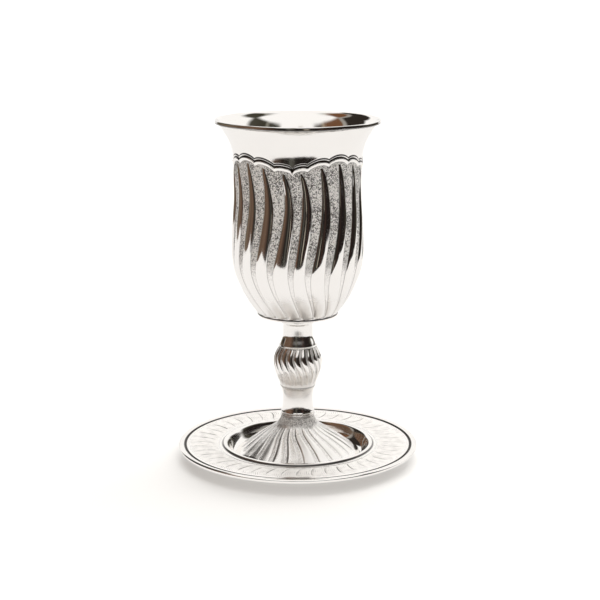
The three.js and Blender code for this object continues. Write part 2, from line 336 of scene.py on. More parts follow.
@dataclass
class Bowl:
    """The goblet's bowl: S-shaped lobes below, a scalloped roll and wire, a plain flared collar.

    Attributes:
        relief: depth of the ribs under the plain skin.
        swags: how many times the scalloped border sinks and rises round the bowl.
        swag_low: height of the border where it is lowest.
        swag_rise: how much higher it is where it is highest.
        arch_rise: how far the flattest arch of the border stands above its cusps.
        arch_swell: how much more the tallest arch does.
        valley_drop: how much lower the lowest cusps dip to a point.
        crowding: degrees by which cusps are drawn to the low point of their swag.
        roll: height of the border's bright roll.
        roll_proud: how far the roll stands out.
        wire_gap: height of the dark groove between the roll and the wire.
        wire: height of the thin wire above it.
        wire_proud: how far the wire stands out.
        stray: degrees that the hand strayed from even spacing, by angle.
    """

    columns: int = 560
    bottom: float = 66.7
    edge_height: float = 69.9
    edge_radius: float = 18.7
    lip_height: float = 158.9
    lip_radius: float = 36.7
    lip_bead: float = 0.8
    relief: float = 0.8
    swags: int = 4
    swag_low: float = 139.8
    swag_rise: float = 3.3
    arch_rise: float = 0.75
    arch_swell: float = 0.75
    valley_drop: float = 0.9
    crowding: float = 2.6
    roll: float = 1.4
    roll_proud: float = 0.55
    wire_gap: float = 0.85
    wire: float = 0.5
    wire_proud: float = 0.42
    profile: Curve = field(init=False)
    lobes: Swirl = field(init=False)
    stray: Curve = field(init=False)

    def __post_init__(self) -> None:
        """Works out the outline and the lobes from the sizes."""
        self.stray = smooth_through(
            (-180, 0), (-110, 0), (-62, 1.1), (-26, 1.4), (-12, 2.6), (-5, 1.9), (4, -0.3), (14, 0),
            (180, 0),
        )
        self.profile = smooth_through(
            (self.edge_height, self.edge_radius), (76.5, 23.1), (82.5, 26.3), (88.5, 28.7),
            (95, 30.05), (102, 30.35), (112, 30.1), (125, 29.4), (138, 29.42), (142, 29.6),
            (144, 29.81), (146, 30.12), (148, 30.6), (151, 31.8), (155.5, 34.4),
            (self.lip_height - 0.6, self.lip_radius),
        )
        self.lobes = Swirl(
            count=20,
            first=2.25,
            sway=smooth_through(
                (self.edge_height, 12), (82, 1.5), (90, -1.8), (96, -1.2), (102, 0.7), (108.5, 3.0),
                (114.5, 4.8), (121.5, 5.9), (128.5, 5.0), (134.5, 2.5), (137.4, 0.8), (138.7, 0),
            ),
            width=smooth_through(
                (self.edge_height, 16.6), (82, 14.8), (90, 13.4), (96, 12), (102, 10.8),
                (108.5, 10.4), (114.5, 9.8), (121.5, 8.6), (128.5, 6.6), (134.5, 4.2),
                (137.2, 2.2), (138.7, 9), (142, 9),
            ),
            crown=smooth_through(
                (self.edge_height, 0.55), (76, 0.75), (100, 0.85), (122, 0.78), (131, 0.5),
                (136.6, 0.14), (137.6, 0),
            ),
        )

    def from_cusp(self, angle: float) -> float:
        """Radians from a lowest cusp of the border to an angle in degrees."""
        return math.radians(angle - self.lobes.first + self.lobes.pitch / 2)

    def scallop(self, angle: float) -> float:
        """How far the scalloped roll's top stands above its lowest cusps at an angle."""
        turn = self.from_cusp(angle)
        swing = (1 - math.cos(self.swags * turn)) / 2
        arch = abs(math.sin(self.lobes.count / 2 * turn)) ** 0.7
        drop = self.valley_drop * self.cusp(angle)[1]
        return self.swag_rise * swing + (self.arch_rise + self.arch_swell * swing) * arch - drop

    def cusp(self, angle: float) -> tuple[float, float]:
        """How close an angle is to a cusp of the scallops, and to one of the lowest cusps."""
        turn = self.from_cusp(angle)
        near = (1 - abs(math.sin(self.lobes.count / 2 * turn))) ** 3
        return near, near * ((1 + math.cos(self.swags * turn)) / 2) ** 6

    def border(self, level: float, cusp: float, valley: float) -> tuple[float, float, float]:
        """Section of the border.

        Args:
            level: millimetres above the top of the roll, on the plain skin.
            cusp: 1 at a cusp of the scallops.
            valley: 1 at one of the lowest cusps.

        Returns:
            How far it stands proud of the plain skin, its stippling and its tarnish.
        """
        roll = self.roll * (1 + 0.3 * cusp)
        if level < -roll:
            return 0.0, ease(0, 0.5, -roll - level), 0.2 * ease(0.4, 0, -roll - level)
        if level < 0:
            rise = clamp((level + roll) / (roll - 0.2))
            return self.roll_proud * rise * ease(0.0, -0.16, level), 0.0, ease(-0.1, 0, level)
        if level < self.wire_gap:
            dip = math.sin(math.pi * level / self.wire_gap)
            return -0.15 * dip, 0.0, 1.0 - 0.9 * ease(0.86, 1.0, level / self.wire_gap)
        above = level - self.wire_gap
        shown = 1 - min(1.0, 3 * valley)
        if above < self.wire:
            rise = clamp(above / (self.wire - 0.12))
            rise *= ease(self.wire, self.wire - 0.2, above)
            return self.wire_proud * rise * shown, 0.0, 1 - shown
        past = above - self.wire
        return -0.14 * (1 - ease(0, 0.7, past)), 0.0, 1 - ease(0.4, 0.7, past)

    def rows(self) -> list[Row]:
        """The outline: underside, sides, lip and inside."""
        low = self.swag_low
        heights = (
            spread(self.edge_height + 0.9, low - self.roll - 1.2, 1.0)
            + spread(low - self.roll - 0.9, low + self.wire_gap + self.wire + 0.9, 0.17)
            + spread(low + 3, self.lip_height - 1.1, 0.9)
        )
        flat, rise = 7.8, self.edge_height - 0.9 - self.bottom
        under = outline(Zone.UNDER, *((r, self.bottom) for r in (0, 3, flat)))
        under += [
            Row(r, self.bottom + rise * ((r - flat) / 10.4) ** 1.3, Zone.UNDER)
            for r in (10, 13, 15.5, 17.3)
        ]
        hem = outline(
            Zone.EDGE, (-0.35, 69.05), (-0.05, 69.25), (0, 69.45), (0, 69.75), (-0.05, 70.05),
            (-0.2, 70.2), (-0.1, 70.4), origin=(self.edge_radius, 0),
        )
        sides = [Row(self.profile(z), z, Zone.SIDE) for z in heights]
        lip = outline(
            Zone.EDGE, (-0.55, -1.85), (-0.25, -1.8), (-0.08, -1.72), (0, -1.55), (0.01, -1),
            (0, -0.5), (-0.02, -0.34), (-0.1, -0.16), (-0.3, -0.03), (-0.55, 0), (-0.9, -0.08),
            (-1.2, -0.3), (-1.5, -0.62), (-1.8, -1),
            origin=(self.lip_radius + self.lip_bead, self.lip_height + self.lip_bead),
        )
        inner = [
            Row(self.inner_radius(z), z, Zone.INSIDE)
            for z in (157.9, 157.1, 156.3, 155.3, 154.2, 153, 151.5, 150, 148, 145.5, 143, 139, 133)
            + (126, 118, 110, 103, 97, 92, 88.5, 85.5, 82.5, 79.5, 77, 75, 73.4, 72.1)
        ]
        floor = self.bottom + SHEET
        base = outline(
            Zone.INSIDE, (17.3, 70.6), (14.5, 69.3), (11, 68.3), (flat, floor), (0, floor)
        )
        return under + hem + sides + lip + inner + base

    def inner_radius(self, height: float) -> float:
        """Radius of the plain inside at a height: the wall thins towards the lip."""
        wall = self.relief + SHEET - 0.5 * ease(146, 157, height)
        return self.profile(height) - wall

    def carve(self, column_angle: float, row: Row) -> Spot:
        """Carves the outside and leaves the other faces as they are turned."""
        if row.zone is not Zone.SIDE:
            # painted shade: a dark line along the hem and one under the lip bead, in the oxide
            # colour
            painted_shade_line = abs(row.height - 70.15) < 0.15 or abs(row.height - 158.1) < 0.06
            tarnish_and_shade = 0.9 if row.zone is Zone.EDGE and painted_shade_line else 0.0
            radius = row.radius + 0.02 * speckle(column_angle, row.radius, row.height, 9)
            return Spot(column_angle + self.lobes.first, radius, row.height, 0.0, tarnish_and_shade)
        level = row.height - self.swag_low
        angle, lobe, rib = self.lobes.place(column_angle, row.height)
        lift_share = ease(118, 137, row.height) * (1 - ease(self.swag_low + 2.4, 152, row.height))
        height = row.height + lift_share * self.scallop(angle)
        border_share = ease(self.swag_low - 3, self.swag_low - 1.6, row.height)
        ground_level = -self.relief + 0.4 * ease(122, 137, row.height)
        if level < -self.roll - 0.95:
            swell, ground, tarnish_and_shade = self.lobes.relief(lobe, rib, row.height)
            radius = self.profile(height) + ground_level + swell
            ground *= 0.1 + 0.9 * ease(88, 106, row.height)
        else:
            proud, ground, tarnish_and_shade = self.border(level, *self.cusp(angle))
            sunk = 0.4 - 0.2 * ease(-1, 0, level) - 0.2 * ease(5, 14, level)
            radius = self.profile(height) - sunk + proud
        drawn = border_share * (1 - ease(self.swag_low + 3, 150, row.height))
        angle -= self.crowding * math.sin(self.swags * self.from_cusp(angle)) * drawn
        angle += self.stray(around(angle)) * ease(self.edge_height, 92, row.height)
        radius += 0.02 * ground * speckle(angle, radius, height, 0.9)
        radius += 0.03 * speckle(angle, radius, height, 7)
        satin = 0.85 * ease(88, 78, row.height) + 0.2 * ease(141, 146, row.height)
        return Spot(angle, radius, height, ground, tarnish_and_shade, satin)

    def build(self) -> bpy.types.Object:
        """The bowl as one closed skin."""
        return turned("raised_bowl", self.rows(), self.columns, self.carve)


@dataclass
class Stem:
    """The baluster stem: a plain neck, a swirled knop between a ring and a row of beads, a waist."""

    columns: int = 320
    bottom: float = 22.2
    top: float = 66.4
    bore: float = 5.0
    knop_low: float = 35.5
    knop_high: float = 53.9
    beads: int = 40
    bead_row: Ring = (34.9, 0.42, 0.28)
    ring: Ring = (54.4, 0.32, 0.34)
    foot_ring: Ring = (22.6, 0.35, 0.25)
    profile: Curve = field(init=False)
    lobes: Swirl = field(init=False)

    def __post_init__(self) -> None:
        """Works out the outline and the knop's lobes from the sizes."""
        self.profile = smooth_through(
            (self.bottom, 7.6), (22.7, 7.6), (23.0, 7.52), (23.6, 7.36), (24.5, 7.18),
            (25.5, 7.04), (26.5, 6.95), (27.6, 6.9), (29.4, 6.92), (31, 7.05), (32.5, 7.3),
            (34.2, 7.7), (self.bead_row[0], 8.0), (36.5, 8.4), (37.5, 8.75), (39, 9.4),
            (40.5, 10.0), (42, 10.55), (44, 11.05), (46.2, 11.3), (48.4, 11.12), (50, 10.68),
            (51.2, 10.18), (52.5, 9.53), (self.knop_high, 8.75), (54.9, 8.42), (55.8, 8.13),
            (56.6, 7.82), (57.4, 7.5), (58.2, 7.2), (58.8, 7.03), (59.4, 6.93), (60, 6.9),
            (64, 6.9), (64.8, 7.1), (65.4, 7.45), (self.top, 7.5),
        )
        self.lobes = Swirl(
            count=20,
            first=0.7,
            sway=smooth_through(
                (self.knop_low, 10.5), (38, 11.5), (40.5, 10.5), (43.5, 6.5), (46.5, 1),
                (49.7, -3.5), (self.knop_high, 0),
            ),
            width=smooth_through(
                (self.knop_low, 9.5), (42, 11), (46, 12.5), (50.5, 12.5), (self.knop_high, 9),
            ),
            crown=smooth_through(
                (self.knop_low, 0.05), (37.2, 0.25), (42, 0.42), (48, 0.45), (52.3, 0.25),
                (self.knop_high, 0.03),
            ),
        )

    def rows(self) -> list[Row]:
        """The outline: up the outside and down the bore."""
        stretches = (
            (self.bottom, 24, 0.2), (24.4, 34.4, 0.4), (34.6, 36.1, 0.15), (36.4, 53.4, 0.3),
            (53.55, 55.6, 0.13), (55.9, 63.9, 0.35), (64.1, self.top, 0.2),
        )
        outside = [
            Row(self.profile(z), z, Zone.SIDE) for stretch in stretches for z in spread(*stretch)
        ]
        return outside + outline(Zone.INSIDE, (self.bore, self.top), (self.bore, self.bottom))

    def carve(self, column_angle: float, row: Row) -> Spot:
        """Carves the knop and raises the ring and the beads."""
        if row.zone is not Zone.SIDE:
            return Spot(column_angle, row.radius, row.height)
        radius, ground, tarnish_and_shade, angle = row.radius, 0.0, 0.0, column_angle
        if self.knop_low < row.height < self.knop_high:
            angle, lobe, rib = self.lobes.place(column_angle, row.height)
            swell, ground, tarnish_and_shade = self.lobes.relief(lobe, rib, row.height)
            radius += swell - self.lobes.crown(row.height)
            # painted light: the knop's lower half faces the bright table, so its tarnish and
            # stippling are thinned there to show it lighter
            upper = ease(40, 46, row.height)
            ground *= 0.1 + 0.25 * upper
            tarnish_and_shade *= 0.2 + 0.6 * upper
        middle, half, proud = self.ring
        radius += proud * bulge(row.height, middle, half)
        from_ring = abs(row.height - middle) / half
        if 1 <= from_ring < 2.2:
            tarnish_and_shade = max(tarnish_and_shade, 0.6 * (1 - (from_ring - 1) / 1.2))
        middle, half, proud = self.bead_row
        from_beads = (row.height - middle) / half
        if abs(from_beads) < 1:
            share = (column_angle * self.beads / 360) % 1 * 2 - 1
            bead = max(0.0, 1 - from_beads**2 - share * share)
            radius += proud * math.sqrt(bead)
            tarnish_and_shade = max(tarnish_and_shade, 0.7 * ease(0.25, 0.0, bead))
        middle, half, proud = self.foot_ring
        radius += proud * bulge(row.height, middle, half)
        radius += 0.035 * ground * speckle(angle, radius, row.height, 0.6)
        radius += 0.012 * speckle(angle, radius, row.height, 4)
        satin = 0.4 * ease(44, 38, row.height) * ease(26.5, 28.5, row.height)
        return Spot(angle, radius, row.height, ground, tarnish_and_shade, satin)

    def build(self) -> bpy.types.Object:
        """The stem as one closed skin with its bore."""
        return turned("baluster_stem", self.rows(), self.columns, self.carve, closed=True)


@dataclass
class Foot:
    """The domed foot: rings and a stippled shoulder above, swirled lobes, a plain upright edge.

    Attributes:
        stray: degrees that the hand strayed from even spacing, by angle.
        struck_high: how hard each line was struck near the shoulder, by angle.
        struck_low: how hard it was struck near the edge, by angle.
    """

    columns: int = 384
    bottom: float = SHEET + GAP
    edge: float = 1.6
    radius: float = 29.1
    top: float = 21.9
    lobe_start: float = 9.6
    lobe_end: float = 26.4
    rings: tuple[Ring, ...] = ((20.75, 0.26, 0.3), (21.45, 0.34, 0.3))
    profile: Curve = field(init=False)
    lobes: Swirl = field(init=False)
    stray: Curve = field(init=False)
    struck_high: Curve = field(init=False)
    struck_low: Curve = field(init=False)

    def __post_init__(self) -> None:
        """Works out the dome and its lobes from the sizes, and how hard each line was struck."""
        self.stray = smooth_through(
            (-180, 0), (-100, 0), (-55, -2.5), (-27, 0), (-11, 0), (8, 3.5), (40, 4), (90, 0),
            (180, 0),
        )
        self.struck_high = smooth_through(
            (-180, 0.5), (-70, 0.5), (-42, 0.8), (-27, 0.35), (-11, 1.0), (7, 0.9), (23, 0.5),
            (40, 0.35), (180, 0.5),
        )
        self.struck_low = smooth_through(
            (-180, 0.4), (-70, 0.6), (-42, 1.0), (-27, 1.0), (-11, 0.7), (7, 0.2), (23, 0.5),
            (40, 0.15), (180, 0.4),
        )
        self.profile = smooth_through(
            (7.6, 20.6), (8.1, 18.9), (10, 16.3), (13, 14.1), (17, 11.5), (21, 8.7), (25, 5.7),
            (27.2, 4.1),
            (self.radius - 0.4, self.bottom + self.edge + 0.25),
        )
        self.lobes = Swirl(
            count=24,
            first=-1,
            sway=smooth_through(
                (8, 4), (self.lobe_start, -2), (12, -1), (14, 1), (18, 6), (22, 9),
                (self.lobe_end, 10),
            ),
            width=smooth_through((8, 6), (13, 8.5), (19, 10), (self.lobe_end, 10.5)),
            crown=smooth_through(
                (9.2, 0), (11, 0.2), (15, 0.36), (20, 0.4), (24, 0.32), (self.lobe_end, 0.08),
                (27, 0),
            ),
            groove=smooth_through(
                (9.6, 0), (11, 0.45), (14, 0.5), (19, 0.35), (22, 0.5), (25.4, 0.45), (26.6, 0),
            ),
        )

    def rows(self) -> list[Row]:
        """The outline: the edge, up the dome, and the plain hollow underneath."""
        edge = outline(
            Zone.EDGE, (-SHEET, 0), (0, 0), (0, self.edge - 0.5), (-0.1, self.edge),
            origin=(self.radius, self.bottom),
        )
        radii = spread(self.radius - 0.4, self.lobe_end, 0.4)
        radii += spread(self.lobe_end - 0.3, 8.1, 0.28)
        dome = [Row(r, self.profile(r), Zone.SIDE) for r in radii]
        shoulder = [Row(self.shoulder(z), z, Zone.SIDE) for z in spread(19.1, self.top, 0.14)]
        under = [
            Row(r, self.profile(r) - SHEET - 0.8, Zone.INSIDE)
            for r in (9, 10.5, 12.5, 15, 18, 21, 24, 26, 27.5)
        ]
        hollow = outline(Zone.INSIDE, (0, self.top - 1.3), (5.8, self.top - 1.3))
        return edge + dome + shoulder + [Row(0, self.top, Zone.EDGE)] + hollow + under

    def shoulder(self, height: float) -> float:
        """Radius of the rings above the dome by height."""
        plain = 8.05 - 0.5 * ease(19, 20.6, height)
        bulges = (proud * bulge(height, middle, half) for middle, half, proud in self.rings)
        return plain + sum(bulges)

    def carve(self, column_angle: float, row: Row) -> Spot:
        """Carves the dome; its lobes stand proud along +Z."""
        if row.zone is not Zone.SIDE:
            return Spot(column_angle, row.radius, row.height)
        if row.height > 19:
            ringed = abs(row.height - 21.05) < 0.1 or abs(row.height - 20.42) < 0.1
            ground, tarnish_and_shade = 0.8 * ease(20.4, 20.2, row.height), 0.8 if ringed else 0.15
            return Spot(column_angle, row.radius, row.height, ground, tarnish_and_shade)
        angle, lobe, rib = self.lobes.place(column_angle, row.radius)
        swell, ground, tarnish_and_shade = self.lobes.relief(lobe, rib, row.radius)
        line = around(angle - self.lobes.sway(row.radius) + self.lobes.sway(self.lobe_end))
        low_share = ease(16, 21, row.radius)
        struck = self.struck_high(line) * (1 - low_share) + self.struck_low(line) * low_share
        shoulder = 1 - ease(8.6, 10.6, row.radius)
        plain = ease(self.lobe_end - 0.3, self.lobe_end + 0.5, row.radius)
        ground = max((0.25 + 0.25 * struck) * ground, shoulder * 0.8) * (1 - plain)
        tarnish_and_shade = (tarnish_and_shade * struck * (1 - shoulder) + 0.2 * shoulder) * (1 - plain)
        height = row.height + swell - self.lobes.crown(row.radius)
        height += 0.04 * ground * speckle(angle, row.radius, row.height, 0.8)
        height += 0.02 * speckle(angle, row.radius, row.height, 5)
        angle += self.stray(around(angle))
        return Spot(angle, row.radius, height, ground, tarnish_and_shade, 0.6 * (1 - plain))

    def build(self) -> bpy.types.Object:
        """The foot as one closed skin, hollow below."""
        return turned("swirled_foot", self.rows(), self.columns, self.carve, closed=True)


@dataclass
class Saucer:
    """The saucer: a flat well, a raised crest, a broad rim of chased petals and a rolled edge.

    Attributes:
        rim_height: height of the edge's middle.
        bead: thickness of its rolled edge, from the middle.
        petal_swell: how far a petal stands up along its middle.
        stroke: depth of the line between two petals.
        ring: depth of the ring inside the petals.
        lean: degrees that the petals have swung, by radius.
    """

    columns: int = 704
    petals: int = 44
    rim_height: float = 6.5
    radius: float = 56.1
    bead: float = 0.97
    well: float = 29.7
    crest: float = 34.1
    crest_height: float = 7.6
    petal_start: float = 37.6
    petal_end: float = 51.4
    petal_swell: float = 0.12
    stroke: float = 0.32
    ring: float = 0.06
    lean: Curve = field(init=False)

    def __post_init__(self) -> None:
        """Works out how the petals lean."""
        self.lean = smooth_through(
            (self.petal_start, 3.4), (40, 1.6), (43, 0.1), (48, -0.5), (self.petal_end, 1.2)
        )

    def rim(self, radius: float) -> float:
        """Height of the rim's upper face by radius: it rises a little towards its edge."""
        return self.rim_height + 0.1 + 0.45 * ease(36, 56, radius)

    def rows(self) -> list[Row]:
        """The outline: underside, rolled edge, rim, crest, well wall and floor."""
        middle = self.radius - self.bead
        under = outline(
            Zone.UNDER, (0, 0), (15, 0), (27, 0), (29.3, 0), (30.4, 0.25), (31.3, 0.9), (31.9, 1.7),
            (32.5, 3.2), (33.2, 5.2), (34.2, 5.75), (36, 5.75), (42, 5.85), (48, 5.95), (52, 6.05),
            (54.3, 6.1),
        )
        edge = arc_rows((middle, self.rim_height), self.bead, -150, -20, 8)
        edge += outline(
            Zone.EDGE, (self.radius, 6.45), (self.radius, 6.8), (56.04, 6.9), (55.96, 6.98),
            (55.75, 7.17), (55.5, 7.34), (55.25, 7.43), (55.0, 7.45), (54.6, 7.42), (54.2, 7.33),
            (53.85, 7.18), (53.6, 7.0), (53.48, 6.82), (53.42, 6.66),
        )
        groove = outline(
            Zone.EDGE, (53.3, 6.56), (53.1, 6.52), (52.9, 6.54), (52.75, 6.62), (52.66, 6.76),
            (52.58, 6.9), (52.4, 6.96), (52.15, 6.97), (52.0, 6.97),
        )
        face = [Row(r, self.rim(r), Zone.SIDE) for r in spread(51.8, 36.4, 0.28)]
        crest = outline(
            Zone.EDGE, (36.1, 6.64), (35.7, 6.62), (35.42, 6.66), (35.3, 6.78), (35.26, 7.0),
            (35.2, 7.2), (35.05, 7.38), (34.75, 7.52), (34.4, 7.58),
            (self.crest, self.crest_height), (33.8, 7.5), (33.5, 7.3), (33.25, 6.95), (33.05, 6.5),
        )
        wall = outline(
            Zone.INSIDE, (32.8, 5.7), (32.5, 4.8), (32.2, 3.9), (31.9, 3.1), (31.5, 2.3),
            (31.0, 1.65), (30.5, 1.2), (30, 0.92), (self.well - 0.2, SHEET), (28, SHEET),
            (22, SHEET), (12, SHEET), (0, SHEET),
        )
        return under + edge + groove + face + crest + wall

    def trait(self, stroke: int, kind: float) -> float:
        """How one stroke of the chasing differs from the next, 0 to 1."""
        return clamp(0.5 + 0.9 * noise.noise(Vector((stroke * 3.71, kind, 0.37))))

    def carve(self, column_angle: float, row: Row) -> Spot:
        """Chases the petals into the rim."""
        if row.zone is not Zone.SIDE:
            tarnish_and_shade = 0.0
            if row.zone is Zone.EDGE and row.height > 6:
                outer = ease(52.4, 52.55, row.radius) * ease(53.75, 53.6, row.radius)
                tarnish_and_shade = max(outer, 0.9 * ease(0.4, 0.15, abs(row.radius - 35.45)))
            return Spot(column_angle, row.radius, row.height, 0.0, tarnish_and_shade)
        pitch = 360 / self.petals
        turn, share = divmod(column_angle / pitch, 1)
        share = crowd_edges(share)
        stroke = round(turn + share) % self.petals
        depth = 0.35 + 0.65 * self.trait(stroke, 0.2)
        start = self.petal_start + 0.3 + 2.2 * self.trait(stroke, 5.1)
        end = self.petal_end - 0.4 - 2.4 * self.trait(stroke, 9.7)
        inside = ease(self.petal_start, self.petal_start + 0.7, row.radius)
        inside *= 1 - ease(self.petal_end - 0.7, self.petal_end, row.radius)
        lean = self.lean(row.radius)
        taper = ease(start, start + 1.6, row.radius) * ease(end, end - 3.5, row.radius)
        cut = ease(0.06, 0.0, 0.5 - abs(share - 0.5)) * taper * depth
        swell = self.petal_swell * math.sin(math.pi * share) ** 0.8 - self.stroke * cut
        ring = ease(0.3, 0.05, abs(row.radius - self.petal_start + 0.35))
        height = row.height + inside * swell - self.ring * ring
        height += 0.012 * speckle(column_angle + lean, row.radius, row.height, 6)
        angle = (turn + share) * pitch + lean
        tarnish_and_shade = max(cut * inside, 0.25 * ring)
        return Spot(angle, row.radius, height, inside, tarnish_and_shade, 0.5, lean)

    def build(self) -> bpy.types.Object:
        """The saucer as one closed skin."""
        return turned("dished_saucer", self.rows(), self.columns, self.carve)


class NodeBench:
    """A short hand for laying shader nodes in one tree."""

    def __init__(self, tree: bpy.types.NodeTree) -> None:
        """Works on the given tree."""
        self.tree = tree

    def add(self, kind: str, **settings: object) -> bpy.types.Node:
        """A new node of a kind, with its settings."""
        node = self.tree.nodes.new(kind)
        for name, value in settings.items():
            setattr(node, name, value)
        return node

    def feed(self, socket: bpy.types.NodeSocket, source: object) -> None:
        """Links a socket to its source, or sets the number or colour that it holds."""
        if isinstance(source, bpy.types.NodeSocket):
            self.tree.links.new(source, socket)
        else:
            socket.default_value = source

    def math(self, operation: str, *sources: object) -> bpy.types.NodeSocket:
        """The result of a math operation on numbers or sockets."""
        node = self.add("ShaderNodeMath", operation=operation)
        for socket, source in zip(node.inputs, sources):
            self.feed(socket, source)
        return node.outputs[0]

    def remap(
        self, source: object, low: float, high: float, to_low: float, to_high: float
    ) -> bpy.types.NodeSocket:
        """A value moved smoothly from one range into another."""
        node = self.add("ShaderNodeMapRange", interpolation_type="SMOOTHSTEP")
        for socket, value in zip(node.inputs, (source, low, high, to_low, to_high)):
            self.feed(socket, value)
        return node.outputs[0]

    def mix(self, share: object, first: object, second: object) -> bpy.types.NodeSocket:
        """A colour between two colours."""
        node = self.add("ShaderNodeMix", data_type="RGBA")
        self.feed(node.inputs["Factor"], share)
        self.feed(node.inputs["A"], first)
        self.feed(node.inputs["B"], second)
        return node.outputs["Result"]

    def place(self) -> bpy.types.NodeSocket:
        """The place of a point in its piece."""
        return self.add("ShaderNodeTexCoord").outputs["Object"]

    def attribute(self, name: str) -> bpy.types.NodeSocket:
        """A point attribute of the mesh."""
        return self.add("ShaderNodeAttribute", attribute_name=name).outputs["Fac"]

    def noise(self, place: object, scale: float, detail: float = 2.0) -> bpy.types.NodeSocket:
        """Cloudy noise, 0 to 1, with scale clouds per metre."""
        node = self.add("ShaderNodeTexNoise")
        self.feed(node.inputs["Vector"], place)
        node.inputs["Scale"].default_value = scale
        node.inputs["Detail"].default_value = detail
        return node.outputs["Fac"]

    def bump(
        self, height: object, depth: float, under: bpy.types.NodeSocket | None = None
    ) -> bpy.types.NodeSocket:
        """A normal that follows a relief of a depth in metres, on top of another normal."""
        node = self.add("ShaderNodeBump")
        node.inputs["Strength"].default_value = 1.0
        node.inputs["Distance"].default_value = depth
        self.feed(node.inputs["Height"], height)
        if under is not None:
            self.feed(node.inputs["Normal"], under)
        return node.outputs["Normal"]

    def bearings(self, share: object, *stops: tuple[float, Colour]) -> bpy.types.NodeSocket:
        """A colour by bearing.

        Args:
            share: place round the room, 0 to 1, with the front at a half.
            stops: bearing in degrees from the front, and colour there, in rising order.

        Returns:
            The colour.
        """
        node = self.add("ShaderNodeValToRGB")
        elements = node.color_ramp.elements
        while len(elements) < len(stops):
            elements.new(1.0)
        for element, (bearing, colour) in zip(elements, stops):
            element.position = bearing / 360 + 0.5
            element.color = (*colour, 1.0)
        self.feed(node.inputs["Fac"], share)
        return node.outputs["Color"]


def effect_group(
    name: str, takes: Sequence[str], gives: Sequence[str]
) -> tuple[NodeBench, bpy.types.Node, bpy.types.Node]:
    """Starts a node group for an effect on a surface.

    Args:
        name: name of the group.
        takes: names of the numbers that it takes.
        gives: names of the numbers that it gives.

    Returns:
        A bench for its tree, its input node and its output node.
    """
    group = bpy.data.node_groups.new(name, "ShaderNodeTree")
    for way, names in (("INPUT", takes), ("OUTPUT", gives)):
        for socket in names:
            group.interface.new_socket(name=socket, in_out=way, socket_type="NodeSocketFloat")
    bench = NodeBench(group)
    return bench, bench.add("NodeGroupInput"), bench.add("NodeGroupOutput")


def stipple_group() -> bpy.types.NodeTree:
    """The punched ground between lobes: closely set round dents.

    Returns:
        A group that takes Grain, in dents per metre, and gives Height and Shade, both 0 to 1.
    """
    bench, entry, way_out = effect_group("stippled ground", ("Grain",), ("Height", "Shade"))
    place = bench.place()
    dents = bench.add("ShaderNodeTexVoronoi", feature="F1")
    bench.feed(dents.inputs["Vector"], place)
    bench.feed(dents.inputs["Scale"], entry.outputs["Grain"])
    bench.feed(way_out.inputs["Height"], dents.outputs["Distance"])
    chance = bench.add("ShaderNodeSeparateXYZ")
    bench.feed(chance.inputs[0], dents.outputs["Color"])
    uneven = bench.remap(bench.noise(place, 150.0), 0.35, 0.65, -0.15, 0.15)
    pale = bench.math("ADD", chance.outputs[0], uneven)
    bench.feed(way_out.inputs["Shade"], bench.remap(pale, 0.15, 0.6, 0.0, 1.0))
    return bench.tree


def hatch_group() -> bpy.types.NodeTree:
    """Fine chased lines that run out from the piece's axis and swing as its pattern does.

    Returns:
        A group that takes Lines, how many lines go round, and gives Height and Tone, both 0 to 1.
    """
    bench, entry, way_out = effect_group("chased hatching", ("Lines",), ("Height", "Tone"))
    place = bench.place()
    parts = bench.add("ShaderNodeSeparateXYZ")
    bench.feed(parts.inputs[0], place)
    to_front = bench.math("MULTIPLY", parts.outputs[1], -1.0)
    bearing = bench.math("ARCTAN2", parts.outputs[0], to_front)
    swing = bench.math("MULTIPLY", bench.attribute(LEAN), math.pi / 180)
    along = bench.math("SUBTRACT", bearing, swing)
    wander = bench.math("SUBTRACT", bench.noise(place, 110.0), 0.5)
    wobble = bench.math("MULTIPLY", wander, 9.0)
    phase = bench.math("ADD", bench.math("MULTIPLY", along, entry.outputs["Lines"]), wobble)
    height = bench.math("MULTIPLY_ADD", bench.math("SINE", phase), 0.5, 0.5)
    bench.feed(way_out.inputs["Height"], height)
    worn = bench.remap(bench.noise(place, 300.0, 3.0), 0.42, 0.62, 0.0, 1.0)
    fine = bench.remap(height, 0.0, 0.3, 1.0, 0.0)
    bench.feed(way_out.inputs["Tone"], bench.math("MULTIPLY", fine, worn))
    return bench.tree


def handling_group() -> bpy.types.NodeTree:
    """Wear of polished silver: hand-raised unevenness, cloth haze and hairline scratches.

    Returns:
        A group that gives Ripple and Haze, both 0 to 1.
    """
    bench, _, way_out = effect_group("handled polish", (), ("Ripple", "Haze"))
    place = bench.place()
    bench.feed(way_out.inputs["Ripple"], bench.noise(place, 140.0, 1.0))
    clouds = bench.remap(bench.noise(place, 60.0, 6.0), 0.4, 0.75, 0.0, 1.0)
    stretch = bench.add("ShaderNodeMapping")
    stretch.inputs["Scale"].default_value = (2600.0, 2600.0, 160.0)
    bench.feed(stretch.inputs["Vector"], place)
    hairs = bench.remap(bench.noise(stretch.outputs["Vector"], 1.0), 0.6, 0.75, 0.0, 1.0)
    scratched = bench.math("MULTIPLY", hairs, 0.6)
    bench.feed(way_out.inputs["Haze"], bench.math("MAXIMUM", clouds, scratched))
    return bench.tree


@dataclass(frozen=True)
class Effects:
    """The surface effects that the silver's finishes share."""

    stipple: bpy.types.NodeTree
    hatch: bpy.types.NodeTree
    handling: bpy.types.NodeTree


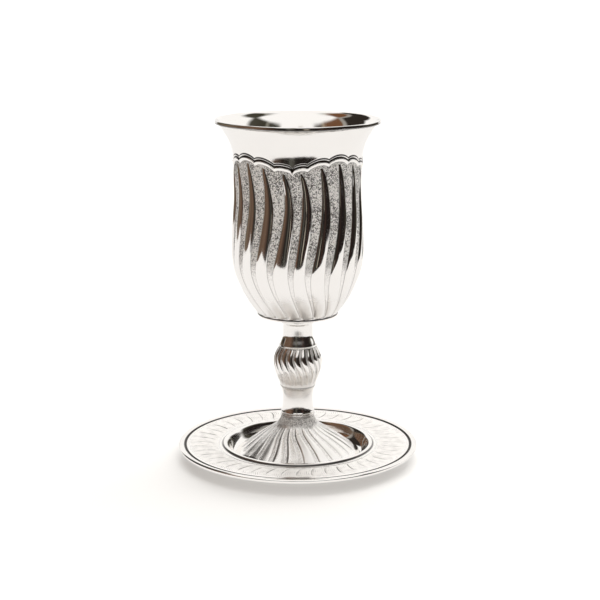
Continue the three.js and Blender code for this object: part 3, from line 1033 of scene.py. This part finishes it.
@dataclass(frozen=True)
class SilverFinish:
    """One finish of the silver.

    Attributes:
        slot: name of the material slot.
        silver: colour of clean silver.
        pit: colour in the dents and lines of a matt ground.
        polish: roughness where it is polished.
        haze: how much rougher handling makes it.
        matt: how much rougher the stippled ground is.
        cloth: how much rougher satin silver is.
        chalk: how far the ground scatters light like chalk instead of mirroring it.
        grain: dents of the ground per metre.
        dent: depth of the ground's dents in metres.
        ripple: depth of the hand-raised unevenness in metres.
        lines: number of fine chased lines round the piece in place of dents, or none.
    """

    slot: str
    silver: Paint = (0.965, 0.945, 0.92, 1)
    pit: Paint = (0.17, 0.16, 0.15, 1)
    polish: float = 0.06
    haze: float = 0.08
    matt: float = 0.62
    cloth: float = 0.26
    chalk: float = 0.42
    grain: float = 2500.0
    dent: float = 0.0002
    ripple: float = 0.00005
    lines: float = 0.0

    def worked(
        self, bench: NodeBench, effects: Effects
    ) -> tuple[bpy.types.NodeSocket, bpy.types.NodeSocket]:
        """Height and colour of the matt ground: fine chased lines, or punched dents."""
        if self.lines:
            hatching = bench.add("ShaderNodeGroup", node_tree=effects.hatch)
            hatching.inputs["Lines"].default_value = self.lines
            depth = bench.math("MULTIPLY", hatching.outputs["Tone"], 0.6)
            return hatching.outputs["Height"], bench.mix(depth, self.silver, self.pit)
        dents = bench.add("ShaderNodeGroup", node_tree=effects.stipple)
        dents.inputs["Grain"].default_value = self.grain
        return dents.outputs["Height"], bench.mix(dents.outputs["Shade"], self.pit, self.silver)

    def dress(self, piece: bpy.types.Object, effects: Effects) -> None:
        """Makes the material and gives it to a piece."""
        material = bpy.data.materials.new(self.slot)
        material.use_nodes = True
        tree = material.node_tree
        tree.nodes.clear()
        bench = NodeBench(tree)
        shader = bench.add("ShaderNodeBsdfPrincipled")
        output = bench.add("ShaderNodeOutputMaterial")
        bench.feed(output.inputs["Surface"], shader.outputs["BSDF"])
        ground, tarnish_and_shade, satin = (bench.attribute(name) for name in (GROUND, TARNISH_AND_SHADE, SATIN))
        wear = bench.add("ShaderNodeGroup", node_tree=effects.handling)
        relief, shade = self.worked(bench, effects)
        # the tarnish attribute tints the silver with the oxide colour; it includes the painted shade
        # lines and the knop's painted light
        colour = bench.mix(tarnish_and_shade, bench.mix(ground, self.silver, shade), OXIDE_AND_SHADE)
        bench.feed(shader.inputs["Base Color"], colour)
        metal = bench.math("MULTIPLY_ADD", ground, -self.chalk, 1.0)
        bench.feed(shader.inputs["Metallic"], metal)
        hazed = bench.math("MULTIPLY", wear.outputs["Haze"], self.haze)
        polished = bench.math("ADD", hazed, self.polish)
        matted = bench.math("MULTIPLY", ground, self.matt)
        rough = bench.math("MAXIMUM", matted, bench.math("MULTIPLY", satin, self.cloth))
        crusted = bench.math("MULTIPLY", tarnish_and_shade, 0.3)
        roughness = bench.math("ADD", bench.math("ADD", polished, rough), crusted)
        bench.feed(shader.inputs["Roughness"], roughness)
        raised = bench.bump(wear.outputs["Ripple"], self.ripple)
        punched = bench.bump(bench.math("MULTIPLY", relief, ground), self.dent, raised)
        bench.feed(shader.inputs["Normal"], punched)
        piece.data.materials.clear()
        piece.data.materials.append(material)


@dataclass
class Studio:
    """A white table in a dim room under broad soft light, and the camera.

    Attributes:
        distance: from the cup's axis to the camera, along -Y.
        height: of the camera above the table.
        pitch: degrees that the camera looks down.
        lens: focal length on a 36 mm sensor.
        aside: how far the camera stands to the right of the axis.
        sheet: left, right, near and far ends of the white sheet that the silver mirrors.
        sheet_tone: its colour in the silver.
        sky: brightness of the light overhead.
        slant: how much more of the table's light comes from the right than from overhead.
        fill: how far the table is lit evenly white in place of by the room.
        backdrop: brightness of the white behind the table.
        wide: half the width of the table.
        ceiling: degrees of elevation up to which the dark room reaches, in front and behind.
        stand_top: heights, as parts of one, between which the screens end and the light starts.
    """

    distance: float = 689.93
    height: float = 231.16
    pitch: float = 12.702
    lens: float = 91.45
    aside: float = 1.04
    sheet: Ends = (-560.0, 560.0, -280.0, 2500.0)
    sheet_tone: Colour = (0.96, 0.94, 0.92)
    sky: float = 1.95
    slant: float = 0.45
    fill: float = 0.05
    backdrop: float = 1.05
    wide: float = 9000.0
    ceiling: tuple[float, float] = (31.0, 4.0)
    stand_top: tuple[float, float] = (0.80, 0.86)

    def camera(self) -> None:
        """Sets the camera up."""
        data = bpy.data.cameras.new("camera")
        data.lens = self.lens
        data.sensor_width = 36.0
        data.clip_start = 0.01
        data.clip_end = 100.0
        camera = bpy.data.objects.new("camera", data)
        camera.location = Vector((self.aside, -self.distance, self.height)) * MM
        camera.rotation_euler = (math.radians(90 - self.pitch), 0, 0)
        bpy.context.scene.collection.objects.link(camera)
        bpy.context.scene.camera = camera

    def paper(self, name: str, tone: Colour) -> bpy.types.Material:
        """Matt white paper, faintly mottled.

        Args:
            name: name of the material.
            tone: its colour where the silver mirrors it.

        Returns:
            The material.
        """
        material = bpy.data.materials.new(name)
        material.use_nodes = True
        bench = NodeBench(material.node_tree)
        shader = material.node_tree.nodes["Principled BSDF"]
        mottle = bench.noise(bench.place(), 7.0)
        mirrored = bench.mix(mottle, (*(0.95 * part for part in tone), 1), (*tone, 1))
        glossy = bench.add("ShaderNodeLightPath").outputs["Is Glossy Ray"]
        seen = bench.mix(glossy, (0.9, 0.9, 0.895, 1), (0, 0, 0, 1))
        bench.feed(shader.inputs["Base Color"], seen)
        bench.feed(shader.inputs["Emission Color"], mirrored)
        bench.feed(shader.inputs["Emission Strength"], glossy)
        shader.inputs["Roughness"].default_value = 0.9
        shader.inputs["Specular IOR Level"].default_value = 0.1
        return material

    def lay(self, name: str, ends: Ends, level: float, paper: bpy.types.Material) -> None:
        """Lays a flat sheet on the table.

        Args:
            name: name of the sheet.
            ends: its left, right, near and far ends.
            level: its height, where below 0 is the table itself, which the silver doesn't mirror.
            paper: its material.
        """
        left, right, near, far = ends
        bm = bmesh.new()
        bmesh.ops.create_grid(bm, x_segments=1, y_segments=1, size=0.5)
        for vert in bm.verts:
            x, y = right if vert.co.x > 0 else left, far if vert.co.y > 0 else near
            vert.co = Vector((x, y, level)) * MM
        mesh = bpy.data.meshes.new(name)
        bm.to_mesh(mesh)
        bm.free()
        mesh.materials.append(paper)
        plane = bpy.data.objects.new(name, mesh)
        bpy.context.scene.collection.objects.link(plane)
        table = level < 0
        plane.visible_glossy = not table
        plane.visible_camera = plane.visible_diffuse = plane.visible_shadow = table

    def floor(self) -> None:
        """Lays the table, and on it the sheet of paper that the silver mirrors."""
        table = (-self.wide, self.wide, -self.wide, self.wide)
        self.lay("table", table, -0.4, self.paper("table_top", self.sheet_tone))
        self.lay("sheet", self.sheet, 0.0, self.paper("sheet_paper", self.sheet_tone))

    def walls(self, bench: NodeBench, share: object, bearing: object, z: object) -> object:
        """The room at table height: dim and brown, with one pale upright strip."""
        dim = bench.bearings(
            share,
            (-180, (0.05, 0.04, 0.03)), (-140, (0.10, 0.085, 0.06)), (-110, (0.17, 0.125, 0.09)),
            (-88, (0.11, 0.07, 0.048)), (-60, (0.15, 0.092, 0.062)), (-42, (0.08, 0.05, 0.036)),
            (-27, (0.022, 0.017, 0.014)), (-17, (0.02, 0.019, 0.016)), (-14, (0.09, 0.088, 0.075)),
            (-7, (0.07, 0.064, 0.054)), (-3, (0.018, 0.015, 0.013)), (24, (0.014, 0.011, 0.01)),
            (34, (0.045, 0.026, 0.02)), (48, (0.014, 0.01, 0.009)), (90, (0.016, 0.012, 0.011)),
            (115, (0.04, 0.034, 0.026)), (150, (0.05, 0.044, 0.03)), (180, (0.05, 0.04, 0.03)),
        )
        strip = bench.remap(bearing, 8, 10, 0, 1)
        for source, off, on in ((bearing, 17, 15), (z, -0.30, -0.25), (z, -0.02, -0.05)):
            strip = bench.math("MULTIPLY", strip, bench.remap(source, off, on, 0, 1))
        return bench.mix(strip, dim, (0.42, 0.37, 0.3, 1))

    def screens(self, bench: NodeBench, share: object, off_front: object, z: object) -> object:
        """What stands above the walls: white screens with dim gaps, under the light."""
        grey, dark, pale = (0.33, 0.31, 0.28), (0.035, 0.032, 0.022), (0.42, 0.38, 0.31)
        stands = bench.bearings(
            share,
            (-146, WHITE), (-141, (0.025, 0.02, 0.016)), (-108, (0.03, 0.024, 0.02)), (-104, grey),
            (-100, grey), (-97, (0.16, 0.075, 0.038)), (-64, (0.15, 0.07, 0.036)),
            (-59, (0.35, 0.28, 0.2)), (-52, (0.05, 0.036, 0.028)), (-40, (0.04, 0.03, 0.024)),
            (-35, WHITE), (-14, WHITE), (-11, pale), (-4, pale), (-1, WHITE), (37, WHITE),
            (43, dark), (62, dark), (68, (0.25, 0.24, 0.2)), (73, (0.045, 0.04, 0.028)),
            (103, (0.06, 0.055, 0.042)), (112, WHITE), (150, WHITE),
        )
        behind = bench.remap(off_front, 130, 150, 0.0, 0.3)
        low_back = bench.math("MULTIPLY", behind, bench.remap(z, 0.02, 0.12, 1.0, 0.0))
        stands = bench.mix(low_back, stands, (0.1, 0.095, 0.085, 1))
        return bench.mix(bench.remap(z, *self.stand_top, 0.0, 1.0), stands, (*WHITE, 1))

    def room(self) -> None:
        """The room as the silver mirrors it: bright above, dim brown at table height."""
        world = bpy.data.worlds.new("room")
        world.use_nodes = True
        bpy.context.scene.world = world
        tree = world.node_tree
        tree.nodes.clear()
        bench = NodeBench(tree)
        way = bench.add("ShaderNodeSeparateXYZ")
        bench.feed(way.inputs[0], bench.add("ShaderNodeTexCoord").outputs["Generated"])
        x, y, z = way.outputs
        turn = bench.math("ARCTAN2", x, bench.math("MULTIPLY", y, -1.0))
        bearing = bench.math("MULTIPLY", turn, 180 / math.pi)
        share = bench.math("ADD", bench.math("MULTIPLY", bearing, 1 / 360), 0.5)
        off_front = bench.math("ABSOLUTE", bearing)
        in_front, behind = (math.sin(math.radians(angle)) for angle in self.ceiling)
        limit = bench.remap(off_front, 70, 110, in_front, behind)
        limit = bench.math("SUBTRACT", limit, bench.remap(off_front, 140, 155, 0.0, 0.25))
        above = bench.remap(bench.math("SUBTRACT", z, limit), -0.02, 0.04, 0.0, 1.0)
        walls = self.walls(bench, share, bearing, z)
        light = bench.mix(above, walls, self.screens(bench, share, off_front, z))
        path = bench.add("ShaderNodeLightPath")
        glossy = path.outputs["Is Glossy Ray"]
        soft = bench.mix(self.fill, light, (*WHITE, 1))
        side = bench.math("MULTIPLY_ADD", x, self.slant * self.sky, self.sky)
        table = bench.math("MULTIPLY", bench.math("SUBTRACT", 1.0, glossy), side)
        mirrored = bench.add("ShaderNodeBackground")
        bench.feed(mirrored.inputs["Color"], bench.mix(glossy, soft, light))
        bench.feed(mirrored.inputs["Strength"], bench.math("ADD", glossy, table))
        seen = bench.add("ShaderNodeBackground")
        seen.inputs["Color"].default_value = (1, 1, 1, 1)
        seen.inputs["Strength"].default_value = self.backdrop
        which = bench.add("ShaderNodeMixShader")
        for socket, source in zip(which.inputs, (path, mirrored, seen)):
            bench.feed(socket, source.outputs["Is Camera Ray" if source is path else "Background"])
        out = bench.add("ShaderNodeOutputWorld")
        bench.feed(out.inputs["Surface"], which.outputs[0])

    def build(self) -> None:
        """Sets up the camera, the table and the light."""
        scene = bpy.context.scene
        scene.view_settings.view_transform = "Standard"
        scene.view_settings.look = "None"
        self.camera()
        self.floor()
        self.room()


def main() -> None:
    """Builds every piece around the frame and dresses it."""
    logging.basicConfig(level=logging.INFO, format="%(message)s")
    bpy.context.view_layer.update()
    Studio().build()
    effects = Effects(stipple_group(), hatch_group(), handling_group())
    silver = SilverFinish
    lighter_pit = (0.3, 0.285, 0.27, 1)
    work = (
        (Bowl(), "bowl", silver("chased_silver")),
        (Stem(), "stem", silver("polished_silver", polish=0.1)),
        (Foot(), "foot", silver("chased_silver", pit=lighter_pit, cloth=0.34, dent=0.0001)),
        (Saucer(), "saucer", silver("engraved_silver", matt=0.36, lines=308.0, dent=0.00005)),
    )
    for maker, node, finish in work:
        piece = maker.build()
        finish.dress(piece, effects)
        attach(piece, BODY)
        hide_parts(node)
        log.info("%s: %d faces", piece.name, len(piece.data.polygons))


if __name__ == "__main__":
    main()
